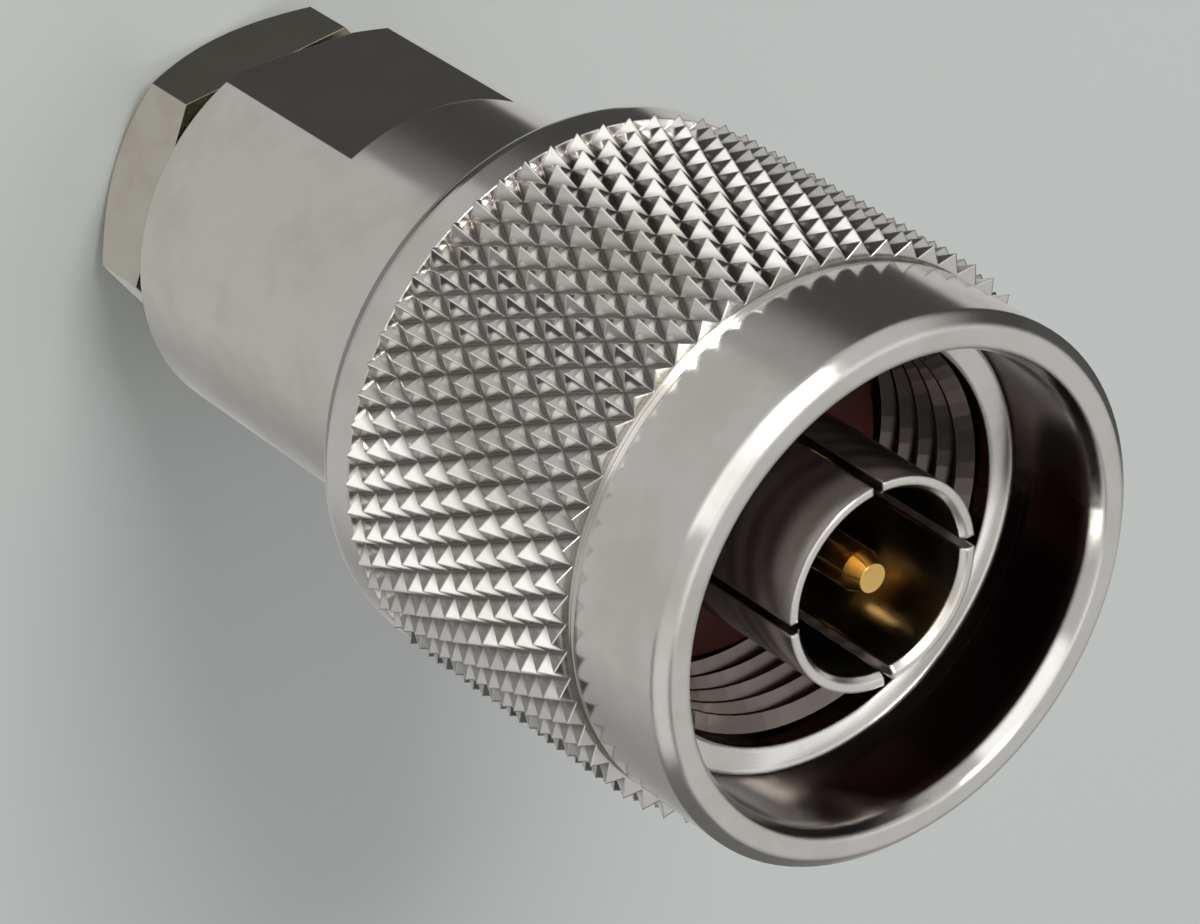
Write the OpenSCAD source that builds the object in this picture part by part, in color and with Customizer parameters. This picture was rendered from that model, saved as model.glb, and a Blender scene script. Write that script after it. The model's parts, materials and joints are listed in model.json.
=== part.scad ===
// Coaxial plug, clamp type, for a cable of about 5 mm: a knurled coupling nut turns on a
// turned body, and a hexagon clamp nut in the body's rear end squeezes the cable gland.
// The plug stands on its clamp nut with the mating face up. The origin is the middle of
// the clamp nut's rear face, and +Z runs along the plug's axis to the mating face.

/* [Coupling nut] */
// Length of the coupling nut
nut_len = 19.8; // [17.5:0.1:24]
// Diameter of the smooth collar at the mating end
collar_d = 21; // [20.4:0.1:21.8]
// Length of the smooth collar
collar_len = 4.8; // [3:0.1:8]
// Diameter over the knurl's points
knurl_d = 22.4; // [21.8:0.1:24]
// Depth of the knurl
knurl_depth = 0.6; // [0.3:0.05:0.75]
// Points round the knurl
knurl_count = 60; // [40:1:72]
// Distance from one row of points to the next
knurl_row = 1.13; // [0.9:0.01:2]
// Width of the groove between collar and knurl
knurl_groove = 0.35; // [0.2:0.05:0.8]
// Diameter of the smooth rear shoulder
shoulder_d = 22; // [21.2:0.1:22.4]
// Length of the rear shoulder
shoulder_len = 2.2; // [1.8:0.1:4]
// Rounding of the rear shoulder
shoulder_round = 1; // [0.5:0.1:1.4]
// Bevel on the outside of the mating face
rim_bevel = 0.45; // [0.2:0.05:0.6]
// Diameter of the plain mouth in front of the thread
mouth_d = 18; // [16.5:0.1:18.4]
// Depth of the plain mouth
mouth_depth = 4.75; // [2:0.05:6]
// Width of the bevel inside the mouth, across the face
mouth_bevel = 0.25; // [0.1:0.05:0.3]
// Depth of the bevel inside the mouth
mouth_bevel_depth = 0.6; // [0.2:0.05:1]
// Major diameter of the coupling thread
coupling_thread_d = 15.88; // [15.6:0.02:16.2]

/* [Body] */
// Diameter of the body
body_d = 16.3; // [15.8:0.1:17]
// Length of body that shows behind the coupling nut
body_show = 16.5; // [14:0.1:20]
// Distance across the two wrench flats
flat_width = 14.5; // [13.8:0.1:15.6]
// Length of the wrench flats
flat_len = 8.85; // [5:0.05:12]
// Bevel on the body's rear edge
body_bevel = 0.5; // [0.2:0.05:0.8]
// Diameter of the boss that the front gasket sits on
boss_d = 14.4; // [12.5:0.1:14.5]
// Height of that boss
boss_h = 0.6; // [0.3:0.1:1]

/* [Clamp nut] */
// Distance across the hexagon's flats
hex_width = 13; // [12.5:0.1:14]
// Length of the hexagon
hex_len = 3.5; // [2.5:0.1:5]
// How far round the hexagon's corners stand from the middle between the wrench flats
hex_turn = 7.9; // [0:0.1:60]
// Gap between the hexagon and the body
hex_gap = 1.1; // [0.5:0.1:2]
// Diameter of the clamp nut's thread
clamp_thread_d = 12; // [11.6:0.1:12.6]
// Diameter of the hole for the cable
cable_d = 5.5; // [4:0.1:6]

/* [Gland] */
// Diameter of the slip washer, cable gasket and braid clamp
gland_d = 10.8; // [10.4:0.1:10.9]
// Thickness of the slip washer
washer_t = 0.8; // [0.5:0.1:1.2]
// Length of the cable gasket
cable_gasket_len = 3.2; // [2.5:0.1:4.5]
// Depth of the V where gasket and braid clamp meet
vee_depth = 0.9; // [0.4:0.1:1.2]
// Length of the braid clamp
braid_clamp_len = 4.2; // [3:0.1:5]
// Hole through the braid clamp, for the cable's core
core_d = 3.3; // [2.8:0.1:3.6]

/* [Contacts] */
// How far the outer contact's end lies behind the mating face
contact_setback = 1.04; // [0.5:0.01:2]
// Outer diameter of the slotted outer contact
sleeve_d = 8.2; // [8:0.05:8.4]
// Wall of the slotted outer contact
sleeve_wall = 0.5; // [0.4:0.05:0.6]
// Bevel inside the outer contact's end
sleeve_bevel = 0.2; // [0.1:0.05:0.3]
// Number of slots in the outer contact
slot_count = 4; // [3:1:6]
// Width of a slot
slot_w = 0.45; // [0.3:0.05:0.8]
// Length of a slot
slot_len = 6; // [4:0.1:8]
// How far round from the wrench flats the slots stand
slot_turn = 3.8; // [0:0.1:90]
// Diameter of the outer contact's root, which the front gasket sits round
root_d = 8.9; // [8.5:0.1:9.4]
// Diameter of the outer contact's pressed-in foot
foot_d = 9.7; // [9.4:0.1:10]
// Length of the pressed-in foot
foot_len = 3; // [2:0.1:4]
// Diameter of the centre pin
pin_d = 1.65; // [1.5:0.01:1.7]
// Diameter of the flat on the pin's tip
pin_tip_d = 1.1; // [0.6:0.05:1.2]
// Length of the pin's tapered tip
pin_taper = 0.7; // [0.4:0.1:1.2]
// How far the pin's tip lies behind the outer contact's end
pin_setback = 0.6; // [0.3:0.05:2]
// How far the pin's shoulder lies behind the outer contact's end
shoulder_setback = 5.5; // [4.5:0.1:6]
// Diameter of the centre contact behind the shoulder
stem_d = 3.04; // [2.6:0.02:3.2]
// Diameter of the collar that holds the centre contact
stem_collar_d = 4.4; // [4:0.1:5]
// Length of that collar
stem_collar_len = 1; // [0.6:0.1:1.2]
// Hole of the solder cup, for the cable's inner conductor
cup_d = 1.1; // [0.9:0.1:1.4]
// Depth of the solder cup
cup_depth = 3; // [2:0.1:3.5]

/* [Seals and insulators] */
// Distance from the outer contact's end to the front gasket
gasket_depth = 8.85; // [8.5:0.05:9.2]
// Thickness of the front gasket
gasket_t = 1.6; // [1:0.1:2]
// Outer diameter of the front gasket
gasket_d = 13.6; // [12:0.1:14.2]
// Diameter of both insulators
insulator_d = 8; // [7.6:0.1:8.2]
// Length of the front insulator
front_insulator_len = 3.5; // [2.5:0.1:4]
// Length of the rear insulator
rear_insulator_len = 3; // [2.5:0.1:3.3]

/* [Retaining ring] */
// Thickness of the retaining ring
ring_t = 1; // [0.8:0.1:1.4]
// Outer diameter of the retaining ring
ring_d = 17.8; // [17.4:0.1:18]
// Radial width of the retaining ring
ring_w = 1.45; // [1.2:0.05:1.6]
// Opening of the retaining ring
ring_gap = 2.5; // [1:0.1:4]
// Distance from the body's shoulder to the retaining ring
ring_depth = 2.2; // [1.5:0.1:4]

/* [Fits] */
// Gap all round between the coupling nut and the body
turn_clearance = 0.08; // [0.05:0.01:0.12]
// Gap all round between the clamp nut's thread and the body
thread_clearance = 0.05; // [0.03:0.01:0.08]
// Gap all round where a piece is pressed or set in
seat_clearance = 0.03; // [0.02:0.01:0.05]
// Free play in length at the coupling nut
end_play = 0.3; // [0.1:0.05:0.4]
// Gap between the braid clamp and the rear insulator, where the braid is folded over
gland_play = 0.2; // [0.1:0.05:0.3]

/* [Hidden] */

NICKEL = "silver";
GOLD = "goldenrod";
PTFE = "white";
RUBBER = "sienna";
over = 1;        // how far a cutter runs past the face it cuts
small_fn = 48;   // segments of small turned pieces
turned_fn = 96;  // segments of large turned pieces

// heights of the pieces, from the clamp nut's rear face upwards
body_z0 = hex_len + hex_gap;
nut_z0 = body_z0 + body_show;
nut_z1 = nut_z0 + nut_len;
collar_z0 = nut_z1 - collar_len;
knurl_z0 = nut_z0 + shoulder_len;
knurl_z1 = collar_z0 - knurl_groove;
sleeve_z1 = nut_z1 - contact_setback;
gasket_z1 = sleeve_z1 - gasket_depth;
boss_z1 = gasket_z1 - gasket_t;
shoulder_z = boss_z1 - boss_h;
thread_z1 = nut_z1 - mouth_depth;
thread_z0 = shoulder_z + end_play;
ring_z0 = shoulder_z - ring_depth - ring_t;
foot_z0 = boss_z1 - foot_len;
insulator_joint_z = foot_z0 - front_insulator_len;
gland_stop_z = insulator_joint_z - rear_insulator_len;
braid_clamp_z1 = gland_stop_z - gland_play;
cable_gasket_z1 = braid_clamp_z1 - braid_clamp_len;
washer_z1 = cable_gasket_z1 - cable_gasket_len;
stub_z1 = washer_z1 - washer_t;

// radii
knurl_core_r = knurl_d / 2 - knurl_depth - 0.25;
neck_r = clamp_thread_d / 2 - 0.6;
gland_bore_r = gland_d / 2 + 0.1;
clamp_bore_r = clamp_thread_d / 2 + thread_clearance;
sleeve_r = sleeve_d / 2;
sleeve_bore_r = sleeve_r - sleeve_wall;

// a turned solid from [radius, height] points, going once round its section
module turned(points, fn = turned_fn) rotate_extrude($fn = fn) polygon(points);

// a ring from its two radii and two heights
module ring(r_in, r_out, z0, z1, fn = turned_fn)
    turned([[r_in, z0], [r_out, z0], [r_out, z1], [r_in, z1]], fn);

// a hole from z0 to z1
module hole(r, z0, z1, fn = small_fn) translate([0, 0, z0]) cylinder(r = r, h = z1 - z0, $fn = fn);

// Diamond knurl. Odd and even places round a row are points and hollows in turn, and each
// row is shifted by one place, so that every point stands between four hollows.
knurl_places = 2 * knurl_count;
knurl_in_r = (knurl_core_r + ring_d / 2 + seat_clearance) / 2;
knurl_sink = 0.35;   // the band's plain end, sunk into the shoulder
knurl_lift = 0.05;   // how far the first row stands clear of the shoulder's face
function knurl_r(row, place) = knurl_d / 2 - ((row + place) % 2 == 0 ? knurl_depth : 0);
knurl_len = knurl_z1 - knurl_z0 - knurl_lift;
knurl_rows = round(knurl_len / knurl_row);
function knurl_row_z(row) = knurl_z0 + knurl_lift + row * knurl_len / knurl_rows;
function knurl_ring(r, z) =
    [for (i = [0:knurl_places - 1]) let (a = 180 * i / knurl_count) [r * cos(a), r * sin(a), z]];
function knurl_row(row) =
    [for (i = [0:knurl_places - 1])
        let (a = 180 * i / knurl_count, r = knurl_r(row, i))
        [r * cos(a), r * sin(a), knurl_row_z(row)]];
function flatten(lists) = [for (l = lists) for (item = l) item];

module knurl_band() {
    sunk_z = knurl_z0 - knurl_sink;
    loops = concat([knurl_ring(knurl_core_r + 0.1, sunk_z)],
                   [for (row = [0:knurl_rows]) knurl_row(row)],
                   [knurl_ring(knurl_in_r, knurl_z1), knurl_ring(knurl_in_r, sunk_z)]);
    count = len(loops);
    // each patch between four neighbours is folded along the line of the hollows
    faces = [for (j = [0:count - 1]) for (i = [0:knurl_places - 1])
        let (up = (j + 1) % count, on = (i + 1) % knurl_places,
             a = j * knurl_places + i, b = j * knurl_places + on,
             c = up * knurl_places + on, d = up * knurl_places + i)
        each (j + i) % 2 == 1 ? [[a, c, b], [a, d, c]] : [[a, d, b], [b, d, c]]];
    polyhedron(points = flatten(loops), faces = faces, convexity = 8);
}

module coupling_nut() {
    back_r = shoulder_d / 2;
    collar_r = collar_d / 2;
    bore_r = body_d / 2 + turn_clearance;
    mouth_r = mouth_d / 2;
    thread_r = coupling_thread_d / 2;
    groove_r = ring_d / 2 + seat_clearance;
    groove_z0 = ring_z0 - seat_clearance;
    groove_z1 = ring_z0 + ring_t + seat_clearance;
    round_points = [for (a = [0:10:90])
        [back_r - shoulder_round * (1 - sin(a)), nut_z0 + shoulder_round * (1 - cos(a))]];
    color(NICKEL) union() {
        turned(concat(
            [[bore_r, nut_z0]], round_points,
            [[back_r, knurl_z0], [knurl_core_r, knurl_z0], [knurl_core_r, collar_z0],
             [collar_r, collar_z0], [collar_r, nut_z1 - rim_bevel],
             [collar_r - rim_bevel, nut_z1], [mouth_r + mouth_bevel, nut_z1],
             [mouth_r, nut_z1 - mouth_bevel_depth], [mouth_r, thread_z1],
             [thread_r, thread_z1], [thread_r, thread_z0], [bore_r, thread_z0],
             [bore_r, groove_z1], [groove_r, groove_z1], [groove_r, groove_z0],
             [bore_r, groove_z0]]));
        knurl_band();
    }
}

module retaining_ring() {
    ring_r = ring_d / 2;
    color(NICKEL) difference() {
        ring(ring_r - ring_w, ring_r, ring_z0, ring_z0 + ring_t);
        translate([0, -ring_gap / 2, ring_z0 - over])
            cube([ring_d, ring_gap, ring_t + 2 * over]);
    }
}

module body() {
    body_r = body_d / 2;
    groove_r = ring_d / 2 - ring_w - 0.5;
    groove_z0 = ring_z0 - 0.1;
    groove_z1 = ring_z0 + ring_t + 0.1;
    color(NICKEL) difference() {
        turned([[0, body_z0], [body_r - body_bevel, body_z0], [body_r, body_z0 + body_bevel],
                [body_r, groove_z0], [groove_r, groove_z0], [groove_r, groove_z1],
                [body_r, groove_z1], [body_r, shoulder_z], [boss_d / 2, shoulder_z],
                [boss_d / 2, boss_z1], [0, boss_z1]]);
        // wrench flats, milled in from the rear end
        for (side = [-1, 1])
            translate([-body_d, side > 0 ? flat_width / 2 : -flat_width / 2 - body_d,
                       body_z0 - over])
                cube([2 * body_d, body_d, flat_len + over]);
        // from the rear: clamp thread, gland, insulators; from the front: the contact's foot
        hole(clamp_bore_r, body_z0 - over, stub_z1 + 0.6);
        hole(gland_bore_r, body_z0, gland_stop_z);
        hole(insulator_d / 2 + seat_clearance, gland_stop_z - over, foot_z0 + over);
        hole(foot_d / 2 + seat_clearance, foot_z0, boss_z1 + over);
    }
}

module outer_contact() {
    color(NICKEL) difference() {
        turned([[sleeve_bore_r, foot_z0], [foot_d / 2, foot_z0], [foot_d / 2, boss_z1],
                [root_d / 2, boss_z1], [root_d / 2, gasket_z1],
                [sleeve_r, gasket_z1], [sleeve_r, sleeve_z1],
                [sleeve_bore_r + sleeve_bevel, sleeve_z1],
                [sleeve_bore_r, sleeve_z1 - sleeve_bevel]]);
        for (i = [0:slot_count - 1])
            rotate(slot_turn + i * 360 / slot_count)
                translate([0, -slot_w / 2, sleeve_z1 - slot_len])
                    cube([sleeve_d, slot_w, slot_len + over]);
    }
}

module centre_contact() {
    stem_r = stem_d / 2;
    tip_z = sleeve_z1 - pin_setback;
    pin_z0 = sleeve_z1 - shoulder_setback;
    stem_bevel = (stem_r - pin_d / 2) / 2;
    collar_z1 = insulator_joint_z;
    cup_z0 = gland_stop_z + seat_clearance;
    color(GOLD) difference() {
        turned([[0, cup_z0], [stem_r, cup_z0], [stem_r, collar_z1 - stem_collar_len],
                [stem_collar_d / 2, collar_z1 - stem_collar_len],
                [stem_collar_d / 2, collar_z1], [stem_r, collar_z1],
                [stem_r, pin_z0 - stem_bevel], [stem_r - stem_bevel, pin_z0],
                [pin_d / 2, pin_z0], [pin_d / 2, tip_z - pin_taper],
                [pin_tip_d / 2, tip_z], [0, tip_z]], small_fn);
        hole(cup_d / 2, cup_z0 - over, cup_z0 + cup_depth);
    }
}

module front_insulator() {
    color(PTFE) ring(stem_d / 2 + seat_clearance, insulator_d / 2,
                     insulator_joint_z, foot_z0, small_fn);
}

module rear_insulator() {
    stem_hole_r = stem_d / 2 + seat_clearance;
    collar_hole_r = stem_collar_d / 2 + seat_clearance;
    collar_z0 = insulator_joint_z - stem_collar_len;
    color(PTFE) turned([[stem_hole_r, gland_stop_z], [insulator_d / 2, gland_stop_z],
                        [insulator_d / 2, insulator_joint_z], [collar_hole_r, insulator_joint_z],
                        [collar_hole_r, collar_z0], [stem_hole_r, collar_z0]], small_fn);
}

module front_gasket() {
    color(RUBBER) ring(root_d / 2 + seat_clearance, gasket_d / 2, boss_z1, gasket_z1);
}

module clamp_nut() {
    hex_r = hex_width / sqrt(3);
    bevel = hex_r - hex_width / 2 + 0.2;
    thread_r = clamp_thread_d / 2;
    color(NICKEL) difference() {
        union() {
            // the hexagon, turned off to a cone at its rear corners
            intersection() {
                rotate(hex_turn) cylinder(r = hex_r, h = hex_len, $fn = 6);
                turned([[0, 0], [hex_r - bevel, 0], [hex_r, bevel * 0.9], [hex_r, hex_len],
                        [0, hex_len]]);
            }
            turned([[0, hex_len - over], [neck_r, hex_len - over],
                    [neck_r, body_z0 + body_bevel], [thread_r, body_z0 + body_bevel],
                    [thread_r, stub_z1 - 0.4], [thread_r - 0.4, stub_z1], [0, stub_z1]]);
        }
        hole(cable_d / 2, -over, stub_z1 + over);
        turned([[0, -over], [cable_d / 2 + 0.4 + over, -over], [cable_d / 2, 0.4], [0, 0.4]],
               small_fn);
    }
}

module slip_washer() {
    color(NICKEL) ring(cable_d / 2, gland_d / 2, stub_z1, washer_z1, small_fn);
}

module cable_gasket() {
    hole_r = cable_d / 2;
    middle_r = (hole_r + gland_d / 2) / 2;
    color(RUBBER) turned([[hole_r, washer_z1], [gland_d / 2, washer_z1],
                          [gland_d / 2, cable_gasket_z1], [middle_r, cable_gasket_z1 - vee_depth],
                          [hole_r, cable_gasket_z1]], small_fn);
}

module braid_clamp() {
    hole_r = core_d / 2;
    edge_r = cable_d / 2;
    middle_r = (edge_r + gland_d / 2) / 2;
    nose_r = insulator_d / 2;
    color(NICKEL) turned([[hole_r, cable_gasket_z1], [edge_r, cable_gasket_z1],
                          [middle_r, cable_gasket_z1 - vee_depth], [gland_d / 2, cable_gasket_z1],
                          [gland_d / 2, cable_gasket_z1 + braid_clamp_len / 2],
                          [nose_r, braid_clamp_z1], [hole_r, braid_clamp_z1]], small_fn);
}

body();
outer_contact();
centre_contact();
front_insulator();
rear_insulator();
front_gasket();
coupling_nut();
retaining_ring();
clamp_nut();
slip_washer();
cable_gasket();
braid_clamp();
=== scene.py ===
import json
import math

import bmesh
import bpy
from mathutils import Euler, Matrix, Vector

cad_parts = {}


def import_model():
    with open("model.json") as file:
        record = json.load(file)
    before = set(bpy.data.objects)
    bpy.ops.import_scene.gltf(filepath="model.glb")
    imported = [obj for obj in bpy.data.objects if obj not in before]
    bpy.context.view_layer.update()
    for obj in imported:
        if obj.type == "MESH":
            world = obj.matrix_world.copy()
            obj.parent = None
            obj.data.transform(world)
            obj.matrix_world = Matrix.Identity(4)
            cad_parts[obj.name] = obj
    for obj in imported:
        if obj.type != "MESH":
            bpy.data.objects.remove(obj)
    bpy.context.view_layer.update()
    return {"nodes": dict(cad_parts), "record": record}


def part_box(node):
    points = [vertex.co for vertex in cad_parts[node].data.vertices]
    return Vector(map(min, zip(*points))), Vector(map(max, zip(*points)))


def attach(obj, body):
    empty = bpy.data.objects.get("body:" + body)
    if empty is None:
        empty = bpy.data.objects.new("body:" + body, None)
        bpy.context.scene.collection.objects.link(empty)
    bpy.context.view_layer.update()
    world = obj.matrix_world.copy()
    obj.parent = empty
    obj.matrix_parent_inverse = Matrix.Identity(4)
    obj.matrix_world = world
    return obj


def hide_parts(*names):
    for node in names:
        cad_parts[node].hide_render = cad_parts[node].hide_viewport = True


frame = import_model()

scene = bpy.context.scene
scene.view_settings.view_transform = "Standard"
nodes = frame["nodes"]
MM = 0.001

# ---------------------------------------------------------------- camera

CAMERA_AT = (-0.09928, 0.09552, 0.15948)
CAMERA_TURN = (-29.311, -36.817, -1.505)    # degrees
SENSOR_WIDTH, LENS = 36, 158.6              # mm


def make_camera():
    data = bpy.data.cameras.new("camera")
    data.sensor_width = SENSOR_WIDTH
    data.lens = LENS
    data.clip_start = 0.01
    data.clip_end = 10
    cam = bpy.data.objects.new("camera", data)
    scene.collection.objects.link(cam)
    cam.location = CAMERA_AT
    cam.rotation_euler = Euler([math.radians(a) for a in CAMERA_TURN], "XYZ")
    scene.camera = cam


make_camera()

# ---------------------------------------------------------------- node helpers


class Tree:
    """Short names for building shader nodes."""

    def __init__(self, tree):
        self.tree = tree
        tree.nodes.clear()

    def add(self, kind, **props):
        n = self.tree.nodes.new(kind)
        for k, v in props.items():
            setattr(n, k, v)
        return n

    def put(self, socket, value):
        if isinstance(value, bpy.types.NodeSocket):
            self.tree.links.new(value, socket)
        else:
            socket.default_value = value

    def math(self, op, a, b=0.0):
        n = self.add("ShaderNodeMath", operation=op)
        for s, v in zip(n.inputs, (a, b)):
            self.put(s, v)
        return n.outputs[0]

    def product(self, first, *others):
        for other in others:
            first = self.math("MULTIPLY", first, other)
        return first

    def ramp(self, value, lo, hi, to_lo=0.0, to_hi=1.0):
        n = self.add("ShaderNodeMapRange", interpolation_type="SMOOTHSTEP")
        for k, v in (("Value", value), ("From Min", lo), ("From Max", hi),
                     ("To Min", to_lo), ("To Max", to_hi)):
            self.put(n.inputs[k], v)
        return n.outputs[0]

    def dot(self, a, b):
        n = self.add("ShaderNodeVectorMath", operation="DOT_PRODUCT")
        self.put(n.inputs[0], a)
        self.put(n.inputs[1], b)
        return n.outputs["Value"]

    def mix(self, factor, a, b):
        n = self.add("ShaderNodeMix", data_type="RGBA")
        self.put(n.inputs["Factor"], factor)
        self.put(n.inputs["A"], a)
        self.put(n.inputs["B"], b)
        return n.outputs["Result"]

    def noise(self, vector, scale, detail, rough=0.6):
        n = self.add("ShaderNodeTexNoise")
        self.put(n.inputs["Vector"], vector)
        self.put(n.inputs["Scale"], scale)
        self.put(n.inputs["Detail"], detail)
        self.put(n.inputs["Roughness"], rough)
        return n.outputs["Fac"]

    def mapping(self, vector, scale):
        n = self.add("ShaderNodeMapping")
        self.put(n.inputs["Vector"], vector)
        n.inputs["Scale"].default_value = scale
        return n.outputs[0]

    def xyz(self, vector):
        n = self.add("ShaderNodeSeparateXYZ")
        self.put(n.inputs[0], vector)
        return n.outputs

    def combine(self, x, y, z):
        n = self.add("ShaderNodeCombineXYZ")
        for s, v in zip(n.inputs, (x, y, z)):
            self.put(s, v)
        return n.outputs[0]

    def bump(self, height, distance, strength, normal=None):
        n = self.add("ShaderNodeBump")
        self.put(n.inputs["Height"], height)
        n.inputs["Distance"].default_value = distance
        n.inputs["Strength"].default_value = strength
        if normal is not None:
            self.put(n.inputs["Normal"], normal)
        return n.outputs[0]


def material(name):
    m = bpy.data.materials.new(name)
    m.use_nodes = True
    return m, Tree(m.node_tree)


# ---------------------------------------------------------------- materials

BODY_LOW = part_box("body")[0][2]
MILLED_TO = BODY_LOW + 8.85 * MM            # where the wrench flats end
NUT_LOW, NUT_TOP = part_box("coupling_nut")[0][2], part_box("coupling_nut")[1][2]
NUT_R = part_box("coupling_nut")[1][0]
COLLAR_AT = NUT_TOP - 4.8 * MM              # where the smooth collar begins
MOUTH_R = 9.3 * MM                          # a little more than the mouth's radius
KNURL_FROM = NUT_LOW + 2.2 * MM             # the knurled stretch of the nut
KNURL_TO = COLLAR_AT - 0.36 * MM
KNURL_R = 10.2 * MM                         # further in than its deepest hollow
STEP_TOP = NUT_TOP - 4 * MM                 # above the ring between mouth and thread
STEP_R = 9.2 * MM                           # and outside it
SLEEVE_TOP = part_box("outer_contact")[1][2]

# painted shade: the dark colour blended into the metal where the functions below say little
# light would reach
PAINTED_SHADE = (0.075, 0.05, 0.044)
NICKEL, NICKEL_WORN = (0.70, 0.685, 0.65), (0.64, 0.615, 0.57)


# How much painted shade each place in the metal gets, from 0 to 1.

def shade_in_mouth(t, radius, z):
    """Painted shade on the nut's inner walls, which only see each other, darker further down
    from the mouth.
    """
    normal = t.add("ShaderNodeNewGeometry").outputs["True Normal"]
    wall = t.math("LESS_THAN", t.math("ABSOLUTE", t.xyz(normal)[2]), 0.3)
    inner = t.math("LESS_THAN", radius, MOUTH_R)
    depth = t.ramp(z, NUT_TOP - 0.2 * MM, NUT_TOP - 1.2 * MM, 0.0, 0.95)
    return t.product(wall, inner, depth)


def shade_in_knurl(t, radius, z):
    """Painted shade in the hollows between the knurl's points, darker deeper in."""
    low = t.ramp(radius, NUT_R - 0.30 * MM, NUT_R - 0.62 * MM, 0.0, 0.7)
    return t.product(t.math("LESS_THAN", z, KNURL_TO), t.math("GREATER_THAN", z, KNURL_FROM),
                     t.math("GREATER_THAN", radius, KNURL_R), low)


def shade_on_sleeve(t, radius, z):
    """Painted shade on the outer contact, darker further below its end."""
    return t.ramp(z, SLEEVE_TOP - 0.25 * MM, SLEEVE_TOP - 2.2 * MM, 0.0, 0.8)


def shade_on_thread(t, radius, z):
    """Painted shade, even over the whole of a thread deep in a bore."""
    return 0.86


def metal(name, colour, worn, rough, edge=0.06, anisotropic=0.0, flats=False, hollows=(),
          cone=None):
    """Plated metal: fine turning marks round the axis, faint stains, softened edges, and
    painted shade.
    edge is their radius in mm, or a smaller one, a larger one and the height where the
    larger takes over. flats puts milling strokes on the wrench flats. hollows holds the
    functions above, which blend the dark painted-shade colour into the base colour. cone tilts
    flat rings inside a radius and below a height, as a lead-in bevel does."""
    m, t = material(name)
    out = t.add("ShaderNodeOutputMaterial")
    p = t.add("ShaderNodeBsdfPrincipled")
    pos = t.add("ShaderNodeTexCoord").outputs["Object"]
    x, y, z = t.xyz(pos)
    radius = t.math("SQRT", t.math("ADD", t.product(x, x), t.product(y, y)))
    marks = t.noise(t.combine(z, radius, 0.0), 14000.0, 2.0)
    fine = t.noise(pos, 2600.0, 3.0)
    stain = t.ramp(t.noise(pos, 220.0, 4.0), 0.42, 0.68)

    base = t.mix(stain, (*colour, 1), (*worn, 1))
    # painted shade: darken the colour towards the shade colour as far as each function says
    for hollow in hollows:
        base = t.mix(hollow(t, radius, z), base, (*PAINTED_SHADE, 1))
    t.put(p.inputs["Base Color"], base)
    p.inputs["Metallic"].default_value = 1.0
    uneven = t.math("ADD", t.product(stain, 0.05), t.product(fine, 0.06))
    t.put(p.inputs["Roughness"], t.math("ADD", rough, uneven))
    if anisotropic:
        p.inputs["Anisotropic"].default_value = anisotropic
        tangent = t.add("ShaderNodeTangent", direction_type="RADIAL", axis="Z")
        t.put(p.inputs["Tangent"], tangent.outputs[0])

    bevel = t.add("ShaderNodeBevel", samples=6)
    if isinstance(edge, tuple):
        small, large, height = edge
        t.put(bevel.inputs["Radius"], t.ramp(z, height - 0.03 * MM, height + 0.03 * MM,
                                             small * MM, large * MM))
    else:
        bevel.inputs["Radius"].default_value = edge * MM
    normal = bevel.outputs[0]
    if cone:
        reach, top, slope = cone
        there = t.product(t.math("LESS_THAN", radius, reach), t.math("LESS_THAN", z, top))
        normal = t.bump(t.product(radius, slope, there), 1.0, 1.0, normal)
    if flats:
        facing = t.xyz(t.add("ShaderNodeNewGeometry").outputs["True Normal"])[1]
        side = t.ramp(t.math("ABSOLUTE", facing), 0.985, 0.999)
        milled = t.product(side, t.math("LESS_THAN", z, MILLED_TO))
        strokes = t.noise(t.mapping(pos, (900.0, 1.0, 9000.0)), 1.0, 2.0)
        marks = t.math("ADD", t.product(marks, t.math("SUBTRACT", 1.0, milled)),
                       t.product(strokes, milled))
    normal = t.bump(marks, 0.0012 * MM, 0.5, normal)
    t.put(p.inputs["Normal"], t.bump(fine, 0.002 * MM, 0.35, normal))
    t.put(out.inputs["Surface"], p.outputs[0])
    return m


def plastic(name, colour, dirt, rough, sub=0.0):
    """Plastic or rubber with faint dirt and a fine grain."""
    m, t = material(name)
    out = t.add("ShaderNodeOutputMaterial")
    p = t.add("ShaderNodeBsdfPrincipled")
    pos = t.add("ShaderNodeTexCoord").outputs["Object"]
    cloud = t.noise(pos, 350.0, 4.0)
    grain = t.noise(pos, 5200.0, 3.0)
    t.put(p.inputs["Base Color"], t.mix(t.ramp(cloud, 0.4, 0.7), (*colour, 1), (*dirt, 1)))
    t.put(p.inputs["Roughness"], t.math("ADD", rough, t.product(grain, 0.12)))
    p.inputs["Subsurface Weight"].default_value = sub
    p.inputs["Subsurface Radius"].default_value = (0.6 * MM, 0.6 * MM, 0.6 * MM)
    t.put(p.inputs["Normal"], t.bump(grain, 0.01 * MM, 0.5))
    t.put(out.inputs["Surface"], p.outputs[0])
    return m


body_nickel = metal("nickel_plate_body", NICKEL, NICKEL_WORN, 0.12, anisotropic=0.4, flats=True)
nickel = metal("nickel_plate", NICKEL, NICKEL_WORN, 0.12, anisotropic=0.4)
# painted shade on the nut's inner walls and between its knurl points
knurl_nickel = metal("nickel_plate_nut", (0.72, 0.705, 0.68), (0.66, 0.64, 0.60), 0.10,
                     edge=(0.09, 0.28, COLLAR_AT), hollows=(shade_in_mouth, shade_in_knurl),
                     cone=(STEP_R, STEP_TOP, 0.36))
warm_nickel = metal("nickel_plate_clamp_nut", (0.60, 0.575, 0.50), (0.53, 0.50, 0.42), 0.16)
# painted shade on the outer contact below its end
thin_nickel = metal("nickel_plate_contact", (0.80, 0.78, 0.75), (0.70, 0.67, 0.62), 0.14,
                    edge=0.16, hollows=(shade_on_sleeve,))
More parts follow.
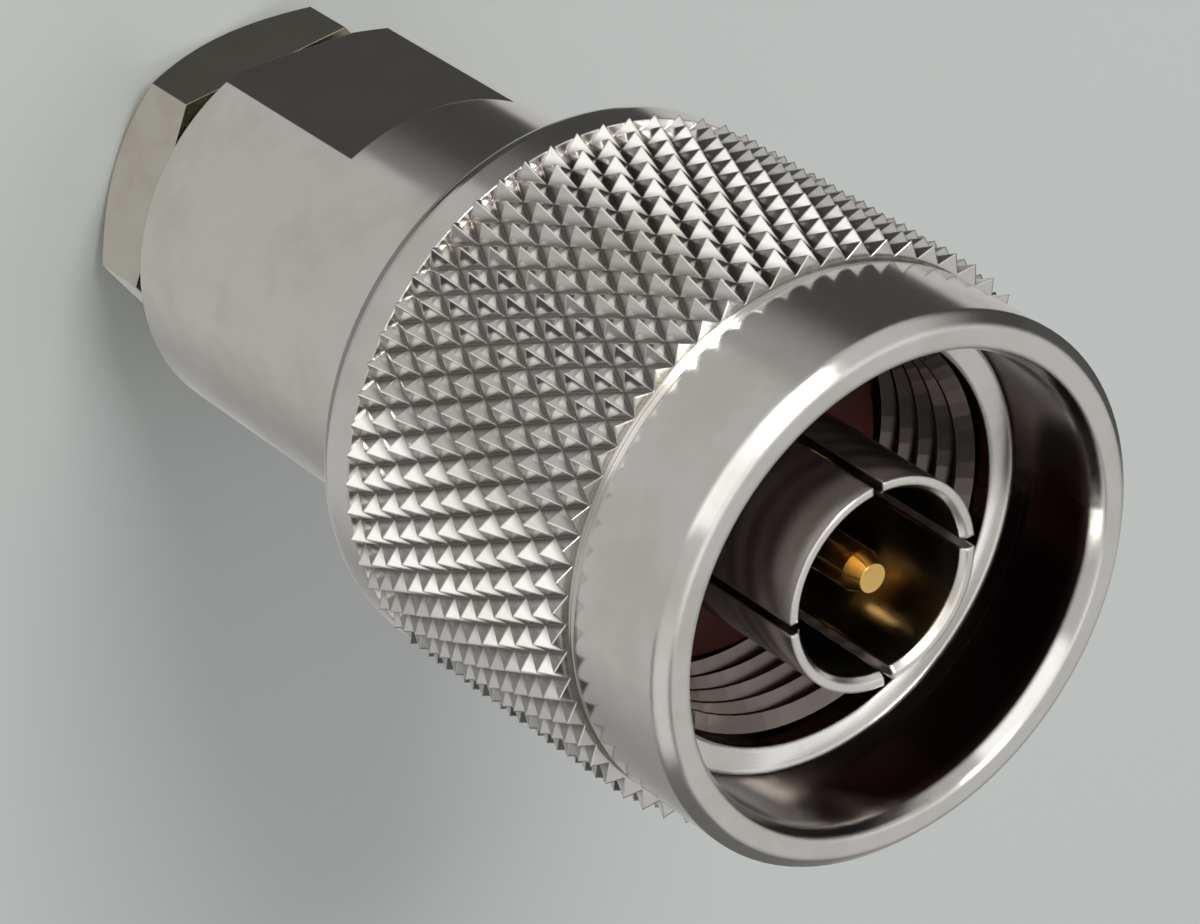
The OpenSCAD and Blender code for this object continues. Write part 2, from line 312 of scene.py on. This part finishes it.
# painted shade over the whole of both threads
thread_nickel = metal("nickel_plate_threads", (0.74, 0.72, 0.69), (0.66, 0.63, 0.58), 0.16,
                      edge=0.03, hollows=(shade_on_thread,))
gold = metal("gold_plate", (0.90, 0.62, 0.22), (0.80, 0.50, 0.14), 0.14, edge=0.04)
steel = metal("spring_steel", (0.50, 0.49, 0.48), (0.42, 0.40, 0.38), 0.25, edge=0.04)
ptfe = plastic("ptfe", (0.85, 0.85, 0.83), (0.80, 0.79, 0.76), 0.38, sub=0.15)
rubber = plastic("red_rubber", (0.085, 0.016, 0.012), (0.06, 0.012, 0.009), 0.42)

for name, mat in (("body", body_nickel), ("coupling_nut", knurl_nickel),
                  ("clamp_nut", warm_nickel), ("outer_contact", thin_nickel),
                  ("centre_contact", gold), ("retaining_ring", steel),
                  ("slip_washer", nickel), ("braid_clamp", nickel),
                  ("front_insulator", ptfe), ("rear_insulator", ptfe),
                  ("front_gasket", rubber), ("cable_gasket", rubber)):
    nodes[name].data.materials.clear()
    nodes[name].data.materials.append(mat)

# ---------------------------------------------------------------- threads

STEPS = 72                  # sections per turn of a thread
RUN_OUT = 0.2 * STEPS       # sections over which a ridge rises at each end
SINK = 0.02 * MM            # how far a ridge's foot reaches into the wall

COUPLING_PITCH = 25.4 / 24 * MM     # of 5/8-24 UNEF
COUPLING_DEPTH = 0.54 * MM
CLAMP_PITCH = 1.0 * MM              # of the clamp nut's thread, M12 x 1
BORE_R, BORE_CREST_R = 6.05 * MM, 5.5 * MM      # of the body's thread
STUB_R, STUB_CREST_R = 5.42 * MM, 6.0 * MM      # of the clamp nut's thread
STUB_SIDES = 96


def new_piece(name, bm, mat, body):
    mesh = bpy.data.meshes.new(name)
    bm.normal_update()
    bm.to_mesh(mesh)
    bm.free()
    o = bpy.data.objects.new(name, mesh)
    scene.collection.objects.link(o)
    mesh.materials.append(mat)
    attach(o, body)
    return o


def helix(bm, base_r, crest_r, z_first, z_last, pitch, half_base, half_crest):
    """A right-hand ridge from base_r to crest_r that runs out at both ends. Its foot and
    its crest are twice half_base and half_crest of a pitch wide."""
    count = int(STEPS * (z_last - z_first) / pitch)
    rings = []
    for i in range(count + 1):
        a = 2 * math.pi * i / STEPS
        z = z_first + pitch * i / STEPS
        ends = min(1.0, i / RUN_OUT, (count - i) / RUN_OUT)
        r = base_r + (crest_r - base_r) * max(ends, 0.02)
        rings.append([bm.verts.new((rr * math.cos(a), rr * math.sin(a), z + dz * pitch))
                      for rr, dz in ((base_r, -half_base), (r, -half_crest),
                                     (r, half_crest), (base_r, half_base))])
    inward = crest_r < base_r
    for one, two in zip(rings, rings[1:]):
        for k in range(4):
            quad = (one[k], one[(k + 1) % 4], two[(k + 1) % 4], two[k])
            bm.faces.new(quad if inward else quad[::-1])
    bm.faces.new(rings[0][::-1] if inward else rings[0])
    bm.faces.new(rings[-1] if inward else rings[-1][::-1])


def coupling_thread():
    """The thread in the coupling nut's bore, behind the plain mouth."""
    mount = next(m for m in frame["record"]["mounts"] if m["name"] == "coupling_thread")
    r = mount["dims"]["r_mm"] * MM
    half = mount["dims"]["length_mm"] * MM / 2
    z_mid = mount["pos_m"][2]
    bm = bmesh.new()
    helix(bm, r + SINK, r - COUPLING_DEPTH, z_mid - half + COUPLING_PITCH * 0.5,
          z_mid + half - COUPLING_PITCH * 0.47, COUPLING_PITCH, 0.44, 0.07)
    new_piece("coupling_thread_ridges", bm, thread_nickel, "coupling")


def body_thread():
    """The thread in the body's rear end, which the clamp nut screws into."""
    bm = bmesh.new()
    helix(bm, BORE_R + SINK, BORE_CREST_R, BODY_LOW + 0.5 * CLAMP_PITCH, BODY_LOW + 7.0 * MM,
          CLAMP_PITCH, 0.42, 0.08)
    new_piece("body_thread_ridges", bm, thread_nickel, "plug")


def clamp_nut_with_thread():
    """The clamp nut's own head, with a real thread on its stub."""
    z_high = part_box("clamp_nut")[1][2]
    cut = BODY_LOW - 0.3 * MM
    bm = bmesh.new()
    bm.from_mesh(nodes["clamp_nut"].data)
    bmesh.ops.bisect_plane(bm, geom=bm.verts[:] + bm.edges[:] + bm.faces[:], dist=1e-7,
                           plane_co=(0, 0, cut), plane_no=(0, 0, 1), clear_outer=True)
    seam = [v.co.xy.length for v in bm.verts if abs(v.co.z - cut) < 1e-6]
    neck_r, bore_r = max(seam), min(seam)
    profile = [(bore_r, cut), (neck_r, cut), (neck_r, BODY_LOW + 0.1 * MM),
               (STUB_R, BODY_LOW + 0.3 * MM), (STUB_R, z_high - 0.3 * MM),
               (STUB_R - 0.3 * MM, z_high), (bore_r + 0.2 * MM, z_high),
               (bore_r, z_high - 0.2 * MM)]
    rings = []
    for i in range(STUB_SIDES):
        a = 2 * math.pi * i / STUB_SIDES
        rings.append([bm.verts.new((r * math.cos(a), r * math.sin(a), z)) for r, z in profile])
    for one, two in zip(rings, rings[1:] + rings[:1]):
        for k in range(1, len(profile)):        # the first side is open, towards the head
            j = (k + 1) % len(profile)
            bm.faces.new((one[k], two[k], two[j], one[j]))
    # half a pitch from the body's own thread, which the clamp nut's joint keeps
    helix(bm, STUB_R - SINK, STUB_CREST_R, BODY_LOW + CLAMP_PITCH,
          z_high - 0.55 * CLAMP_PITCH, CLAMP_PITCH, 0.42, 0.08)
    o = new_piece("clamp_nut_threaded", bm, warm_nickel, "clamp")
    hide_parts("clamp_nut")


coupling_thread()
body_thread()
clamp_nut_with_thread()

# ---------------------------------------------------------------- floor, world and lamps

FLOOR_HALF = 1.5
STUDIO = 2.5                        # the world's strength, which its colours are divided by
TABLE_LIGHT = (0.545, 0.545, 0.54)  # what everything but a reflection sees of the world
AIM = Vector((0, 0, 0.02))          # what the lamps face

# brightness of what the metal reflects
ROOM, FAR_SIDE, UNDERNEATH, OVERHEAD, TOP_LIGHT = 0.56, 0.16, 0.26, 0.60, 1.2
LEFT_BOX, SOFT_BOX = 0.72, 1.35
CARD, LOW_CARD, PATCH = 0.07, 0.09, 0.06


def floor():
    """A pale table. Reflections look through it, at the studio that the world holds."""
    mesh = bpy.data.meshes.new("floor")
    corners = ((-1, -1), (1, -1), (1, 1), (-1, 1))
    mesh.from_pydata([(x * FLOOR_HALF, y * FLOOR_HALF, 0) for x, y in corners], [],
                     [(0, 1, 2, 3)])
    o = bpy.data.objects.new("floor", mesh)
    scene.collection.objects.link(o)
    m, t = material("floor")
    out = t.add("ShaderNodeOutputMaterial")
    p = t.add("ShaderNodeBsdfPrincipled")
    p.inputs["Base Color"].default_value = (0.56, 0.585, 0.575, 1)
    p.inputs["Roughness"].default_value = 0.9
    p.inputs["Specular IOR Level"].default_value = 0.1
    clear = t.add("ShaderNodeBsdfTransparent")
    shown = t.add("ShaderNodeMixShader")
    t.put(shown.inputs["Fac"], t.add("ShaderNodeLightPath").outputs["Is Glossy Ray"])
    t.put(shown.inputs[1], p.outputs[0])
    t.put(shown.inputs[2], clear.outputs[0])
    t.put(out.inputs["Surface"], shown.outputs[0])
    mesh.materials.append(m)


def grey(v):
    """A slightly warm grey for the world."""
    return (v * 1.01 / STUDIO, v / STUDIO, v * 0.985 / STUDIO, 1)


def world():
    """Even light for the table, and a studio for the metal to reflect: a pale room, darker
    on its far side and underneath, with two dark cards, two soft boxes and dark patches."""
    w = bpy.data.worlds.new("world")
    w.use_nodes = True
    scene.world = w
    t = Tree(w.node_tree)
    out = t.add("ShaderNodeOutputWorld")
    bg = t.add("ShaderNodeBackground")
    d = t.add("ShaderNodeTexCoord").outputs["Generated"]
    x, y, z = t.xyz(d)

    room = t.mix(t.ramp(y, -0.95, -0.45), grey(FAR_SIDE), grey(ROOM))
    room = t.mix(t.ramp(z, -0.80, -0.92), room, grey(UNDERNEATH))
    card = t.product(t.ramp(x, -0.02, 0.03), t.ramp(y, 0.02, 0.10), t.ramp(y, 0.80, 0.60),
                     t.ramp(z, 0.45, 0.25))
    room = t.mix(card, room, grey(CARD))
    room = t.mix(t.ramp(z, 0.40, 0.60), room, grey(OVERHEAD))
    room = t.mix(t.ramp(z, 0.86, 0.95), room, grey(TOP_LIGHT))
    low_card = t.product(t.ramp(x, 0.40, 0.55), t.ramp(y, -0.55, -0.45), t.ramp(y, 0.20, 0.10),
                         t.ramp(z, -0.66, -0.60), t.ramp(z, 0.3, 0.2))
    room = t.mix(low_card, room, grey(LOW_CARD))
    left_box = t.ramp(t.dot(d, (-0.70, -0.50, 0.51)), 0.88, 0.95)
    room = t.mix(left_box, room, grey(LEFT_BOX))
    level = t.math("SQRT", t.math("SUBTRACT", 1.0, t.product(z, z)))
    ahead = t.math("DIVIDE", t.dot(d, (-0.616, 0.788, 0.0)), level)
    soft_box = t.product(t.ramp(ahead, 0.85, 0.91), t.ramp(z, -0.34, -0.22),
                         t.ramp(z, 0.82, 0.72))
    room = t.mix(soft_box, room, grey(SOFT_BOX))
    for way in ((-0.26, -0.60, 0.757), (-0.85, -0.45, -0.274)):
        room = t.mix(t.ramp(t.dot(d, way), 0.955, 0.98), room, grey(PATCH))

    table_light = (*(c / STUDIO for c in TABLE_LIGHT), 1)
    glossy = t.add("ShaderNodeLightPath").outputs["Is Glossy Ray"]
    t.put(bg.inputs["Color"], t.mix(glossy, table_light, room))
    bg.inputs["Strength"].default_value = STUDIO
    t.put(out.inputs["Surface"], bg.outputs[0])


def lamp(name, azimuth, elevation, distance, size, watts, colour):
    """A square soft box that faces the object."""
    data = bpy.data.lights.new(name, "AREA")
    data.shape = "SQUARE"
    data.size = size
    data.energy = watts
    data.color = colour
    o = bpy.data.objects.new(name, data)
    scene.collection.objects.link(o)
    a, e = math.radians(azimuth), math.radians(elevation)
    way = Vector((math.cos(a) * math.cos(e), math.sin(a) * math.cos(e), math.sin(e)))
    o.location = AIM + way * distance
    o.rotation_euler = way.to_track_quat("Z", "Y").to_euler()


floor()
world()
lamp("key", 95, 48, 1.0, 0.37, 4.7, (1.0, 0.99, 0.97))
lamp("fill", 20, 62, 0.7, 0.45, 0.25, (0.97, 0.98, 1.0))
